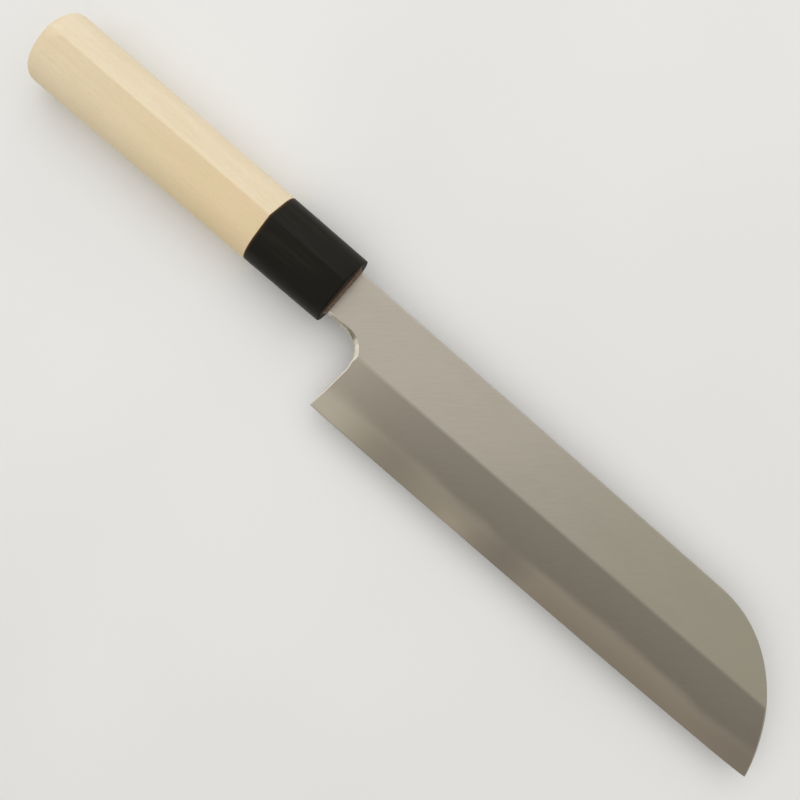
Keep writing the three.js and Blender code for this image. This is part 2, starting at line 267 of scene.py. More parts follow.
def tang_half(x):
    """Half the thickness of the tang, which tapers to its tip."""
    share = np.clip((-SHOULDER_DEPTH - x) / (-SHOULDER_DEPTH - TANG_END), 0, 1)
    return (NECK_THICKNESS + share * (TANG_TIP_THICKNESS - NECK_THICKNESS)) / 2


def face_z(x, y):
    """Flat face, bevel and the tang's upper face."""
    flat = NECK_THICKNESS + (TIP_THICKNESS - NECK_THICKNESS) * np.maximum(x, 0) / TIP_X
    share = np.clip((y - edge_y(x)) / (bevel_y(x) - edge_y(x)), 0, 1)
    ground = EDGE_LAND + (flat - EDGE_LAND) * share
    return np.where(x < -SHOULDER_DEPTH, AXIS_Z + tang_half(x), ground)


HOLLOW_START = NECK_LENGTH + HEEL_HOLLOW + HOLLOW_RIM
HOLLOW_FULL = top_y(SPINE_END[0]) - edge_y(SPINE_END[0]) - 2 * HOLLOW_RIM


def hollow_span(x):
    """Middle and half width of the hollow in the back."""
    run = np.clip((x - HOLLOW_START) / HOLLOW_HEEL_ROUND, 0, 1)
    low = edge_y(x) + HOLLOW_RIM
    high = top_y(x + HOLLOW_RIM * run) - HOLLOW_RIM
    half = np.maximum(high - low, 0) / 2 * np.sqrt(run * (2 - run))
    return (low + high) / 2, half


def back_z(x, y):
    """The back with its hollow, and the tang's lower face."""
    middle, half = hollow_span(x)
    wide = half > HOLLOW_LEAST_HALF
    across = np.where(wide, (y - middle) / np.where(wide, half, 1), 1)
    hollow = HOLLOW_DEPTH * (2 * half / HOLLOW_FULL) ** 2 * np.maximum(0, 1 - across ** 2)
    return np.where(x < -SHOULDER_DEPTH, AXIS_Z - tang_half(x), hollow)


def weld_z(x):
    """Height of the wavy weld between the steel plate and the iron."""
    steady = STEEL_THICKNESS + (STEEL_TIP_THICKNESS - STEEL_THICKNESS) * x / TIP_X
    waves = [height * np.sin(2 * math.pi * (x / length + phase)) for height, length, phase in WAVES]
    return steady + sum(waves)


# Mesh helpers

def mesh_object(name, vertices, faces, materials, zones=None):
    """Object with its mesh in the row frame; zones gives each face's place in the list of materials."""
    mesh = bpy.data.meshes.new(name)
    placed = np.asarray(vertices, float) * MM + np.array(ORIGIN)
    mesh.from_pydata(placed.tolist(), [], faces)
    for material in materials:
        mesh.materials.append(material)
    if zones is not None:
        mesh.polygons.foreach_set("material_index", zones)
    piece = bpy.data.objects.new(name, mesh)
    bpy.context.scene.collection.objects.link(piece)
    return piece


def band(count, rings):
    """Quads between a number of closed rings that have the same count of vertices."""
    start = count * np.arange(rings - 1)[:, None]
    side = start + np.arange(count)
    after = start + np.roll(np.arange(count), -1)
    return np.stack((side, side + count, after + count, after), axis=-1).reshape(-1, 4).tolist()


def loft(rings):
    """Vertices and faces of a closed solid through rings of equal counts, with flat ends."""
    count = len(rings[0])
    last = count * (len(rings) - 1)
    faces = band(count, len(rings))
    faces.append(list(range(count)))
    faces.append(list(range(last + count - 1, last - 1, -1)))
    return np.vstack(rings), faces


def ring_at(x, points):
    """Ring of (y, z) points at one place along the knife."""
    return np.column_stack((np.full(len(points), x), points))


def rectangle(low_y, high_y, low_z, high_z):
    """Corners of a rectangle as (y, z) points."""
    return np.array(((low_y, low_z), (low_y, high_z), (high_y, high_z), (high_y, low_z)))


def combine(piece, tool, operation, keep_tool=False):
    """Joins or cuts a piece with a tool, as DIFFERENCE, INTERSECT or UNION."""
    modifier = piece.modifiers.new("combine", "BOOLEAN")
    modifier.object = tool
    modifier.operation = operation
    modifier.solver = "EXACT"
    graph = bpy.context.evaluated_depsgraph_get()
    result = bpy.data.meshes.new_from_object(piece.evaluated_get(graph))
    piece.modifiers.clear()
    piece.data = result
    if not keep_tool:
        bpy.data.objects.remove(tool)


def keep_border_sharp(piece, zone):
    """Stops the smooth shading at the border of a zone, which is a place in the list of materials."""
    mesh = bmesh.new()
    mesh.from_mesh(piece.data)
    for edge in mesh.edges:
        zones = {face.material_index for face in edge.link_faces}
        if zone in zones and len(zones) > 1:
            edge.smooth = False
    mesh.to_mesh(piece.data)
    mesh.free()


def finish_piece(piece, node):
    """Shades a piece smooth between its sharp corners and puts it in the CAD node's place."""
    piece.data.shade_smooth()
    piece.data.set_sharp_from_angle(angle=SHARP_ANGLE)
    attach(piece, "root")
    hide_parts(node)


# Material helpers

SCREEN_WHITE = 255
NOISE_ROUGHNESS = 0.55
NOISE_MIDDLE = 0.5
MIDDLE_TONES = (0.35, 0.65)
MOST_TONES = (0.3, 0.7)


def srgb(*channels):
    """A colour as it looks on screen, from 0 to 255, as Blender's linear colour."""
    shares = [channel / SCREEN_WHITE for channel in channels]
    return [*Color(shares).from_srgb_to_scene_linear(), 1]


class Finish:
    """A material, with short words for its nodes. Places are millimetres in the knife's frame."""

    def __init__(self, name):
        self.material = bpy.data.materials.new(name)
        self.material.use_nodes = True
        self.nodes = self.material.node_tree.nodes
        self.links = self.material.node_tree.links
        self.shader = self.nodes["Principled BSDF"]

    def feed(self, socket, value):
        """Links a socket to another socket, or sets it to a plain value."""
        if isinstance(value, bpy.types.NodeSocket):
            self.links.new(value, socket)
        else:
            socket.default_value = value

    def node(self, kind, inputs, **settings):
        """New node with its settings made and its inputs fed."""
        made = self.nodes.new(kind)
        for name, value in settings.items():
            setattr(made, name, value)
        for key, value in inputs.items():
            self.feed(made.inputs[key], value)
        return made

    def place(self, turn=0.0, stretch=(1, 1, 1)):
        """Place on the knife, turned about z and drawn out along each axis."""
        coordinates = self.nodes.new("ShaderNodeTexCoord").outputs["Object"]
        in_knife = self.node("ShaderNodeMapping", {
            "Vector": coordinates, "Location": ORIGIN, "Scale": (MM, MM, MM),
        }, vector_type="TEXTURE").outputs[0]
        if not turn and stretch == (1, 1, 1):
            return in_knife
        return self.node("ShaderNodeMapping", {
            "Vector": in_knife, "Rotation": (0, 0, turn), "Scale": stretch,
        }, vector_type="TEXTURE").outputs[0]

    def axes(self):
        """The place's x, y and z."""
        split = self.node("ShaderNodeSeparateXYZ", {"Vector": self.place()})
        return [split.outputs[axis] for axis in "XYZ"]

    def noise(self, size, detail, turn=0.0, stretch=(1, 1, 1), roughness=NOISE_ROUGHNESS):
        """Cloudy pattern from 0 to 1, with features of about that size, turned and drawn out."""
        return self.node("ShaderNodeTexNoise", {
            "Vector": self.place(turn, stretch), "Scale": 1 / size, "Detail": detail, "Roughness": roughness,
        }).outputs["Fac"]

    def math(self, operation, *values):
        """Result of one of the math node's operations."""
        return self.node("ShaderNodeMath", dict(enumerate(values)), operation=operation).outputs[0]

    def plus(self, a, b):
        return self.math("ADD", a, b)

    def minus(self, a, b):
        return self.math("SUBTRACT", a, b)

    def times(self, a, b):
        return self.math("MULTIPLY", a, b)

    def line(self, x, slope, start):
        """Value of a straight line at x."""
        return self.math("MULTIPLY_ADD", x, slope, start)

    def swing(self, pattern, reach):
        """A pattern's swing to both sides of its middle."""
        return self.times(self.minus(pattern, NOISE_MIDDLE), reach)

    def ramp(self, value, low, high, to_low=0.0, to_high=1.0):
        """Smooth step from to_low at low to to_high at high."""
        return self.node("ShaderNodeMapRange", {
            "Value": value, "From Min": low, "From Max": high, "To Min": to_low, "To Max": to_high,
        }, interpolation_type="SMOOTHSTEP").outputs["Result"]

    def mix(self, share, first, second, data_type="RGBA"):
        """Blend of two colours."""
        ends = {"Factor": share, "A": first, "B": second}
        return self.node("ShaderNodeMix", ends, data_type=data_type).outputs["Result"]

    def weigh(self, share, first, second):
        """Blend of two numbers."""
        return self.mix(share, first, second, data_type="FLOAT")

    def bump(self, height, distance):
        """Relief of that depth in millimetres."""
        return self.node("ShaderNodeBump", {
            "Height": height, "Distance": distance * MM, "Strength": 1.0,
        }).outputs["Normal"]

    def done(self, **sockets):
        """Feeds the shader's sockets, whose names are given in lower case with underscores."""
        named = {socket.name.lower().replace(" ", "_"): socket for socket in self.shader.inputs}
        for name, value in sockets.items():
            self.feed(named[name], value)
        return self.material

    def toned(self, colour, tone, roughness, relief, **sockets):
        """Finish whose gloss and relief both follow a tone."""
        return self.done(
            base_color=colour,
            roughness=self.ramp(tone, *MOST_TONES, *roughness),
            normal=self.bump(tone, relief),
            **sockets,
        )


# In the finishes below, a dict holds the settings of a pattern, with its size in millimetres. A value named
# SPAN or FALL holds the places where a ramp starts and ends and, where they aren't 0 and 1, its values there.
# A RELIEF is a depth in millimetres, and a ROUGHNESS holds its least and most.

# Satin iron of the flat and the spine

HAIRLINE_TURN = math.radians(41)
HAIRLINES = dict(size=0.6, detail=4, turn=HAIRLINE_TURN, stretch=(9, 0.9, 1))
IRON_CLOUD = dict(size=9, detail=3, stretch=(2.5, 1, 1))
IRON_CLOUD_SHARE = 0.4
IRON_LIGHT = srgb(165, 158, 146)
IRON_DARK = srgb(160, 153, 141)
IRON_OLIVE = srgb(162, 156, 135)
OLIVE_SPAN = (40, TIP_X, 0, 0.7)
# Painted reflection: brown on the iron within a few millimetres of the ferrule, for the horn's end mirrored
# in the neck
IRON_PAINTED_REFLECTION = srgb(122, 108, 84)
PAINTED_REFLECTION_FALL = (3, 0, 0, 0.4)
SATIN_ROUGHNESS = (0.35, 0.39)
SATIN_RELIEF = 0.0005
BEVEL_LINE_BLUR = 0.8
MIST_IRON = srgb(134, 126, 114)


def bevel_share(look, x, y):
    """0 on the flat and 1 on the bevel, with a soft change across the line between them."""
    slope = BEVEL_LINE_RISE / (TIP_X - NECK_LENGTH)
    line = look.line(x, slope, BEVEL_HEEL_Y - slope * NECK_LENGTH)
    return look.ramp(look.minus(line, y), -BEVEL_LINE_BLUR, BEVEL_LINE_BLUR)


def satin_iron(look):
    """Colour of stone-finished iron, olive towards the tip and with a painted brown reflection of the
    ferrule's end close to it, and its tone.
    """
    x, _, _ = look.axes()
    tone = look.weigh(IRON_CLOUD_SHARE, look.noise(**HAIRLINES), look.noise(**IRON_CLOUD))
    iron = look.mix(look.ramp(tone, *MIDDLE_TONES), IRON_DARK, IRON_LIGHT)
    aged = look.mix(look.ramp(x, *OLIVE_SPAN), iron, IRON_OLIVE)
    # painted reflection of the ferrule's end on the neck
    return look.mix(look.ramp(x, *PAINTED_REFLECTION_FALL), aged, IRON_PAINTED_REFLECTION), tone


def satin_flat():
    """Flat of soft iron: faint slanting hairlines under a cloudy sheen."""
    look = Finish("satin_flat")
    x, y, _ = look.axes()
    iron, tone = satin_iron(look)
    colour = look.mix(bevel_share(look, x, y), iron, MIST_IRON)
    return look.toned(colour, tone, SATIN_ROUGHNESS, SATIN_RELIEF, metallic=1.0)


def eased_spine():
    """Spine and end of the blade with their corners eased, in the bare iron of the flat."""
    look = Finish("eased_spine")
    return look.toned(*satin_iron(look), SATIN_ROUGHNESS, SATIN_RELIEF, metallic=1.0)


# Misty iron and bright steel of the bevel

BEVEL_CLOUD = dict(size=6, detail=4, stretch=(3, 1, 1))
MIST_IRON_DEEP = srgb(127, 119, 107)
MIST_FALL = (13, -1)
SCORE_DRIFT = 14
WELD_DRIFT = 3
HAZE_FALL = (45, 20, 2.2, 5)
MIST_LINE = srgb(156, 149, 136)
MIST_LINE_FALL = (1.2, -1)
MIST_LINE_SPAN = (-3.2, -1)
MIST_LINE_MOST = 0.35
# Painted sheen: a paler colour on the bevel towards the heel, standing in for light reflected off it
HEEL_PAINTED_SHEEN_COLOUR = srgb(196, 187, 170)
HEEL_PAINTED_SHEEN = 0.77
HEEL_PAINTED_SHEEN_PER_MM = 0.956
STEEL_PAINTED_SHEEN_FALL = (40, 20, 0, 0.5)
BEVEL_ROUGHNESS_FALL = (0.3, 1.5, 0.42, 0.3)
BEVEL_RELIEF = 0.0006
STEEL_CLOUD = dict(size=7, detail=2, stretch=(4, 1, 1))
STEEL_OLIVE = srgb(151, 143, 126)
STEEL_ROSE = srgb(150, 138, 121)
ROSE_DRIFT = 60
ROSE_SPAN = (85, 150)
STEEL_BRIGHT = srgb(178, 162, 145)
BRIGHT_PATCH = dict(middle=74, reach=10, most=0.5)
BRIGHT_FALL = (0, -6)
DULL_PATCHES = (dict(middle=48, reach=17, most=0.5), dict(middle=94, reach=17, most=0.75))
DULL_EDGE_FALL = (-2, -8)
DULL_EDGE_SPAN = (85, 125, 0, 0.35)
DULL_TIP_SPAN = (155, TIP_X, 0, 0.65)


def weld_distance(look, x, z):
    """Distance above the weld line across the bevel, in millimetres."""
    line = look.line(x, (STEEL_TIP_THICKNESS - STEEL_THICKNESS) / TIP_X, STEEL_THICKNESS)
    for height, length, phase in WAVES:
        turn = look.line(x, 2 * math.pi / length, 2 * math.pi * phase)
        line = look.plus(line, look.times(look.math("SINE", turn), height))
    thinning = (TIP_THICKNESS - NECK_THICKNESS) / TIP_X
    slope = look.line(x, thinning / BEVEL_WIDTH, NECK_THICKNESS / BEVEL_WIDTH)
    return look.math("DIVIDE", look.minus(z, line), slope)


def patch(look, x, middle, reach, most):
    """Share of a patch along the blade, which is strongest at its middle and gone at its reach."""
    return look.times(look.ramp(x, middle - reach, middle), look.ramp(x, middle + reach, middle, 0, most))


def edge_steel_colour(look, x, above):
    """Polished hard steel, olive near the heel and rosier further on, and how far it is dulled."""
    drift = look.times(look.noise(**STEEL_CLOUD), ROSE_DRIFT)
    rose = look.ramp(look.plus(x, drift), *ROSE_SPAN)
    bright = look.times(patch(look, x, **BRIGHT_PATCH), look.ramp(above, *BRIGHT_FALL))
    steel = look.mix(bright, look.mix(rose, STEEL_OLIVE, STEEL_ROSE), STEEL_BRIGHT)
    to_edge = look.times(look.ramp(above, *DULL_EDGE_FALL), look.ramp(x, *DULL_EDGE_SPAN))
    dull = look.math("MAXIMUM", to_edge, look.ramp(x, *DULL_TIP_SPAN))
    for dull_patch in DULL_PATCHES:
        dull = look.math("MAXIMUM", dull, patch(look, x, **dull_patch))
    return look.mix(dull, steel, MIST_IRON_DEEP), dull


def misty_bevel():
    """Bevel: matt misty iron that passes through a haze into warm bright steel, both with a painted sheen
    that makes them paler towards the heel in place of reflected light.
    """
    look = Finish("misty_bevel")
    x, y, z = look.axes()
    fine = look.noise(**HAIRLINES)
    above = look.plus(weld_distance(look, x, z), look.swing(look.noise(**BEVEL_CLOUD), WELD_DRIFT))
    scored = look.plus(above, look.swing(fine, SCORE_DRIFT))
    mist_iron = look.mix(look.ramp(scored, *MIST_FALL), MIST_IRON, MIST_IRON_DEEP)
    iron = look.mix(bevel_share(look, x, y), satin_iron(look)[0], mist_iron)
    steel, dull = edge_steel_colour(look, x, above)
    haze = look.ramp(x, *HAZE_FALL)
    share = look.ramp(above, haze, look.times(haze, -1))
    mist = look.times(look.ramp(above, *MIST_LINE_FALL), look.ramp(above, *MIST_LINE_SPAN))
    faint = look.times(mist, look.ramp(dull, 0, 1, MIST_LINE_MOST, 0))
    hazy = look.mix(faint, look.mix(share, iron, steel), MIST_LINE)
    # Painted sheen: the iron pales towards the heel and the steel over part of its length, in place of a
    # reflection
    iron_painted_sheen = look.times(look.math("POWER", HEEL_PAINTED_SHEEN_PER_MM, x), HEEL_PAINTED_SHEEN)
    painted_sheen = look.weigh(share, iron_painted_sheen, look.ramp(x, *STEEL_PAINTED_SHEEN_FALL))
    return look.done(
        base_color=look.mix(painted_sheen, hazy, HEEL_PAINTED_SHEEN_COLOUR),
        roughness=look.ramp(look.plus(share, fine), *BEVEL_ROUGHNESS_FALL),
        normal=look.bump(fine, BEVEL_RELIEF),
        metallic=1.0,
    )


# Polished corners of the neck and choil. Their painted shade lies in a band below the flat.

CORNER_PATCHES = dict(size=2.6, detail=3)
CORNER_BRIGHT = srgb(203, 196, 182)
CORNER_DULL = srgb(172, 165, 150)
CORNER_PAINTED_SHADE = srgb(112, 106, 91)
SHADE_DEPTH_SPAN = (9, 12, 0.08, 0.4)
SHADE_SOFTNESS = 0.18
SHADE_SPAN = (2, 11.5, 0.15, 0.9)
SHADE_FALL = (13.6, 12.3)
CORNER_ROUGHNESS = (0.22, 0.32)
CORNER_RELIEF = 0.0015


def polished_corners():
    """Rounded corners: bright outside, with a band of painted shade where they leave the flat."""
    look = Finish("polished_corners")
    x, y, z = look.axes()
    patches = look.noise(**CORNER_PATCHES)
    above_heel = look.ramp(y, HEEL_ROUND_START, NECK_UNDERSIDE)
    dull = look.times(look.ramp(patches, *MIDDLE_TONES[::-1]), above_heel)
    plain = look.mix(dull, CORNER_BRIGHT, CORNER_DULL)
    flat = look.line(x, (TIP_THICKNESS - NECK_THICKNESS) / TIP_X, NECK_THICKNESS)
    reach = look.ramp(x, *SHADE_DEPTH_SPAN)
    inner = look.ramp(look.minus(flat, z), look.plus(reach, SHADE_SOFTNESS), reach)
    along = look.times(look.ramp(x, *SHADE_SPAN), look.ramp(x, *SHADE_FALL))
    # painted shade: darker where the rounding turns away from the light, just below the flat
    colour = look.mix(look.times(inner, along), plain, CORNER_PAINTED_SHADE)
    return look.toned(colour, patches, CORNER_ROUGHNESS, CORNER_RELIEF, metallic=1.0)


# Back and tang

LAPPED_LINES = dict(size=0.5, detail=3, turn=HAIRLINE_TURN, stretch=(30, 0.3, 1))
BACK_LIGHT = srgb(203, 199, 192)
BACK_DARK = srgb(189, 184, 176)
BACK_ROUGHNESS = (0.2, 0.27)
BACK_RELIEF = 0.0008
WHEEL_MARKS = dict(size=0.8, detail=4, stretch=(0.35, 22, 1))
WHEEL_BANDS = dict(size=7, detail=3, stretch=(1, 9, 1))
WHEEL_BAND_SHARE = 0.5
HOLLOW_LIGHT = srgb(186, 181, 173)
HOLLOW_DARK = srgb(174, 169, 161)
HOLLOW_ROUGHNESS = (0.3, 0.42)
HOLLOW_RELIEF = 0.003
SCALE_PATCHES = dict(size=3, detail=5, roughness=0.65)
SCALE_DARK = srgb(58, 53, 49)
SCALE_LIGHT = srgb(92, 84, 77)
SCALE_ROUGHNESS = (0.5, 0.75)
SCALE_RELIEF = 0.06
SCALE_METAL = 0.8


def flat_back():
    """Rim of the back, lapped flat on fine stones."""
    look = Finish("flat_back")
    lines = look.noise(**LAPPED_LINES)
    colour = look.mix(look.ramp(lines, *MOST_TONES), BACK_DARK, BACK_LIGHT)
    return look.toned(colour, lines, BACK_ROUGHNESS, BACK_RELIEF, metallic=1.0)


def hollow_back():
    """Hollow of the back, with the wheel's marks running across it."""
    look = Finish("hollow_back")
    marks = look.noise(**WHEEL_MARKS)
    tone = look.weigh(WHEEL_BAND_SHARE, marks, look.noise(**WHEEL_BANDS))
    colour = look.mix(look.ramp(tone, *MOST_TONES), HOLLOW_DARK, HOLLOW_LIGHT)
    return look.toned(colour, marks, HOLLOW_ROUGHNESS, HOLLOW_RELIEF, metallic=1.0)


def forge_scale():
    """Tang left as it came from the forge."""
    look = Finish("forge_scale")
    patches = look.noise(**SCALE_PATCHES)
    colour = look.mix(look.ramp(patches, *MIDDLE_TONES), SCALE_DARK, SCALE_LIGHT)
    return look.toned(colour, patches, SCALE_ROUGHNESS, SCALE_RELIEF, metallic=SCALE_METAL)


# Wood of the handle

WOOD_FIBRE = dict(size=0.6, detail=5, stretch=(22, 1, 1))
WOOD_LINES = dict(size=1.3, detail=3, stretch=(70, 1, 1))
WOOD_LINE_SHARE = 0.5
WOOD_PATCHES = dict(size=6, detail=3, stretch=(5, 1, 1))
WOOD_PATCH_SHARE = 0.3
WOOD_BLOTCHES = dict(size=4, detail=2, stretch=(4, 1, 1))
WOOD_BLOTCH_TONES = (0.4, 0.6)
WOOD_BLOTCH_SHARE = 0.4
WOOD_PORES = dict(size=0.26, detail=3, stretch=(7, 1, 1))
WOOD_PORE_SPAN = (0.48, 0.72, 0, 0.3)
WOOD_PALE = srgb(239, 225, 196)
WOOD_WARM = srgb(233, 215, 182)
WOOD_HONEY = srgb(231, 203, 152)
WOOD_ROSE = srgb(238, 211, 177)
WOOD_OLIVE = srgb(228, 212, 169)
WOOD_PORE = srgb(214, 190, 150)
RIDGE_BLUR = 0.6
WARMTH_BELOW_RIDGE = (0.08, 0.36)
WARMTH_GROWTH = 1.1
WOOD_ROUGHNESS = (0.55, 0.66)
WOOD_RELIEF = 0.015
WOOD_SPECULAR = 0.3


def magnolia_wood():
    """Pale magnolia with faint long grain and fine pores, warmer below the ridge and at the ferrule."""
    look = Finish("magnolia_wood")
    x, y, _ = look.axes()
    fibre = look.noise(**WOOD_FIBRE)
    grain = look.weigh(WOOD_LINE_SHARE, fibre, look.noise(**WOOD_LINES))
    tone = look.weigh(WOOD_PATCH_SHARE, grain, look.noise(**WOOD_PATCHES))
    body = look.mix(look.ramp(tone, *MIDDLE_TONES), WOOD_PALE, WOOD_WARM)
    below_ridge = look.ramp(y, RIDGE_OFFSET + RIDGE_BLUR, RIDGE_OFFSET - RIDGE_BLUR, *WARMTH_BELOW_RIDGE)
    to_ferrule = look.ramp(x, BUTT_X, JOINT_X, 0, WARMTH_GROWTH)
    warmth = look.plus(below_ridge, look.times(below_ridge, to_ferrule))
    blotches = look.mix(look.ramp(look.noise(**WOOD_BLOTCHES), *WOOD_BLOTCH_TONES), WOOD_ROSE, WOOD_OLIVE)
    warm = look.mix(warmth, body, look.mix(WOOD_BLOTCH_SHARE, WOOD_HONEY, blotches))
    pores = look.ramp(look.noise(**WOOD_PORES), *WOOD_PORE_SPAN)
    return look.done(
        base_color=look.mix(pores, warm, WOOD_PORE),
        roughness=look.ramp(fibre, *MOST_TONES, *WOOD_ROUGHNESS),
        normal=look.bump(look.minus(fibre, pores), WOOD_RELIEF),
        specular_ior_level=WOOD_SPECULAR,
    )


# Horn and resin

HORN_FIBRE = dict(size=1.2, detail=3, stretch=(14, 1, 1))
HORN_CLOUD = dict(size=8, detail=3, stretch=(3, 1, 1))
HORN_TONES = (0.18, 0.42)
HORN_BLACK = srgb(16, 14, 7)
HORN_BROWN = srgb(29, 25, 14)
HORN_RIM = srgb(74, 45, 20)
HORN_RIM_WIDTH = 0.8
HORN_ROUGHNESS = (0.38, 0.46)
HORN_RELIEF = 0.003
HORN_SPECULAR = 0.13
HORN_END_CLOUD = dict(size=1.5, detail=3)
# Painted light: the brown that the horn's end shows round the tang, where the neck lights it
HORN_END_PAINTED_BOUNCE_DARK = srgb(62, 45, 32)
HORN_END_PAINTED_BOUNCE_LIGHT = srgb(88, 66, 48)
PAINTED_BOUNCE_FALL_ACROSS = (11, 8.5)
PAINTED_BOUNCE_FALL_UP = (8, 3)
HORN_END_ROUGHNESS = (0.5, 0.6)
HORN_END_SPECULAR = 0.08
HORN_END_FACING = 0.15
RESIN_PITS = dict(size=0.6, detail=4)
RESIN_DARK = srgb(84, 65, 50)
RESIN_LIGHT = srgb(116, 94, 74)
RESIN_ROUGHNESS = (0.35, 0.55)
RESIN_RELIEF = 0.05


def buffalo_horn():
    """Satin black horn with faint brown fibres along it and a brown rim at the joint."""
    look = Finish("buffalo_horn")
    fibre = look.noise(**HORN_FIBRE)
    cloud = look.noise(**HORN_CLOUD)
    body = look.mix(look.ramp(look.times(fibre, cloud), *HORN_TONES), HORN_BLACK, HORN_BROWN)
    rim = look.ramp(look.axes()[0], JOINT_X + HORN_RIM_WIDTH, JOINT_X)
    return look.done(
        base_color=look.mix(rim, body, HORN_RIM),
        roughness=look.ramp(cloud, *MOST_TONES, *HORN_ROUGHNESS),
        normal=look.bump(fibre, HORN_RELIEF),
        specular_ior_level=HORN_SPECULAR,
    )


def horn_end():
    """End of the horn, cut across its fibres: black at its rounded corner, with painted brown light round the
    tang where the bright neck throws light back onto it.
    """
    look = Finish("horn_end")
    _, y, z = look.axes()
    cloud = look.noise(**HORN_END_CLOUD)
    brown = look.mix(look.ramp(cloud, *MIDDLE_TONES), HORN_END_PAINTED_BOUNCE_DARK, HORN_END_PAINTED_BOUNCE_LIGHT)
    across = look.math("ABSOLUTE", look.minus(y, NECK_SHIFT))
    up = look.math("ABSOLUTE", look.minus(z, AXIS_Z))
    # painted bounce light: brown only near the neck, black further out
    near = look.times(look.ramp(across, *PAINTED_BOUNCE_FALL_ACROSS), look.ramp(up, *PAINTED_BOUNCE_FALL_UP))
    return look.done(
        base_color=look.mix(near, HORN_BLACK, brown),
        roughness=look.ramp(cloud, *MOST_TONES, *HORN_END_ROUGHNESS),
        specular_ior_level=HORN_END_SPECULAR,
    )


def brown_resin():
    """Resin run in round the tang, slightly pitted."""
    look = Finish("brown_resin")
    pits = look.noise(**RESIN_PITS)
    colour = look.mix(look.ramp(pits, *MIDDLE_TONES), RESIN_DARK, RESIN_LIGHT)
    return look.toned(colour, pits, RESIN_ROUGHNESS, RESIN_RELIEF)


# Blade, with its zones in the order of make_blade's finishes

FLAT, BEVEL, CORNER, SPINE_STRIP, RIM, HOLLOW, TANG = range(7)


def fading(points, size, fade_in, fade_out):
    """Size at each point of a path, growing from nothing and shrinking to nothing at its ends."""
    lengths = path_lengths(points)
    share = np.minimum(1, np.minimum(lengths / fade_in, (lengths[-1] - lengths) / fade_out))
    return np.maximum(size * share, BARE_ROUND)


def smooth_step(value, low, high):
    """Smooth step from 0 at low to 1 at high."""
    share = np.clip((value - low) / (high - low), 0, 1)
    return share * share * (3 - 2 * share)


def choil_rounding(path):
    """Rounding under the neck, which swells from the shoulder into the choil and dies out at the heel."""
    shown = np.clip(1 + path[:, 0] / SHOULDER_DEPTH, 0, 1)
    swell = smooth_step(path[:, 0], 0, CHOIL_START[0])
    swelling = (NECK_ROUND + (CHOIL_ROUND - NECK_ROUND) * swell) * shown
    down = smooth_step(path[:, 1], bevel_y(NECK_LENGTH), HEEL_ROUND_START)
    foot = np.clip((path[:, 1] - HEEL_Y) / CHOIL_SETBACK, 0, 1)
    return np.maximum((swelling + (HEEL_ROUND - swelling) * down) * foot, BARE_ROUND)


def blade_outline():
    """Closed outline, anticlockwise: points, rounding on the face and on the back, and the kind of strip."""
    choil = resample(choil_path(), OUTLINE_SPACING)
    edge = resample(EDGE, OUTLINE_SPACING)
    spine = resample(np.vstack((END, SPINE[1:], (-SHOULDER_DEPTH, SPINE_RISE))), OUTLINE_SPACING)
    tang = resample(tang_path(), OUTLINE_SPACING)
    choil_round = choil_rounding(choil)
    keen = fading(edge, KEEN_WIDTH, KEEN_FADE, KEEN_FADE)
    spine_round = fading(spine, SPINE_ROUND, SPINE_ROUND_FADE, SHOULDER_DEPTH)
    bare_edge, bare_tang = [np.full(len(path), BARE_ROUND) for path in (edge, tang)]
    strips = (
        (choil, choil_round, choil_round, CORNER),
        (edge, keen, bare_edge, BEVEL),
        (spine, spine_round, spine_round, SPINE_STRIP),
        (tang, bare_tang, bare_tang, TANG),
    )
    rows = [(path, face, back, np.full(len(path), kind)) for path, face, back, kind in strips]
    return [np.concatenate([part[:-1] for part in parts]) for parts in zip(*rows)]


def inward_normals(outline):
    """Directions square to a closed outline, towards its inside."""
    along = np.roll(outline, -1, axis=0) - np.roll(outline, 1, axis=0)
    return np.column_stack((-along[:, 1], along[:, 0])) / np.linalg.norm(along, axis=1)[:, None]


def corner_rings(outline, inward, size, drop, height, side):
    """Rings that round a corner of the outline, from just inside a face to its wall. side is 1 or -1."""
    turns = np.linspace(0, math.pi / 2, ROUND_STEPS + 1)
    offsets = [size + SUPPORT_INSET] + [size * (1 - math.sin(turn) ** CORNER_FLATNESS) for turn in turns]
    depths = [0 * size] + [drop * (1 - max(0, math.cos(turn)) ** CORNER_FLATNESS) for turn in turns]
    rings = []
    for offset, depth in zip(offsets, depths):
        point = outline + inward * offset[:, None]
        rings.append(np.column_stack((point, height(point[:, 0], point[:, 1]) - side * depth)))
    return rings


def inside(points, outline, margin):
    """Which points lie within a closed outline, at least a margin away from it."""
    after = np.roll(outline, -1, axis=0)
    stretch = after - outline
    away = points[:, None, :] - outline
    share = np.clip((away * stretch).sum(-1) / (stretch ** 2).sum(-1), 0, 1)
    distance = np.linalg.norm(away - share[..., None] * stretch, axis=-1).min(axis=1)
    height = points[:, None, 1]
    passes = (outline[:, 1] <= height) != (after[:, 1] <= height)
    slope = np.where(passes, stretch[:, 0] / np.where(stretch[:, 1] == 0, 1, stretch[:, 1]), 0)
    crossings = (passes & (away[..., 0] < slope * away[..., 1])).sum(axis=1)
    return (crossings % 2 == 1) & (distance > margin)


def plain_grid(outline):
    """Evenly spaced points within an outline."""
    ends = zip(outline.min(axis=0), outline.max(axis=0))
    steps = [np.arange(low, high, FACE_SPACING) for low, high in ends]
    grid = np.stack(np.meshgrid(*steps), axis=-1).reshape(-1, 2)
    return grid[inside(grid, outline, FACE_MARGIN)]


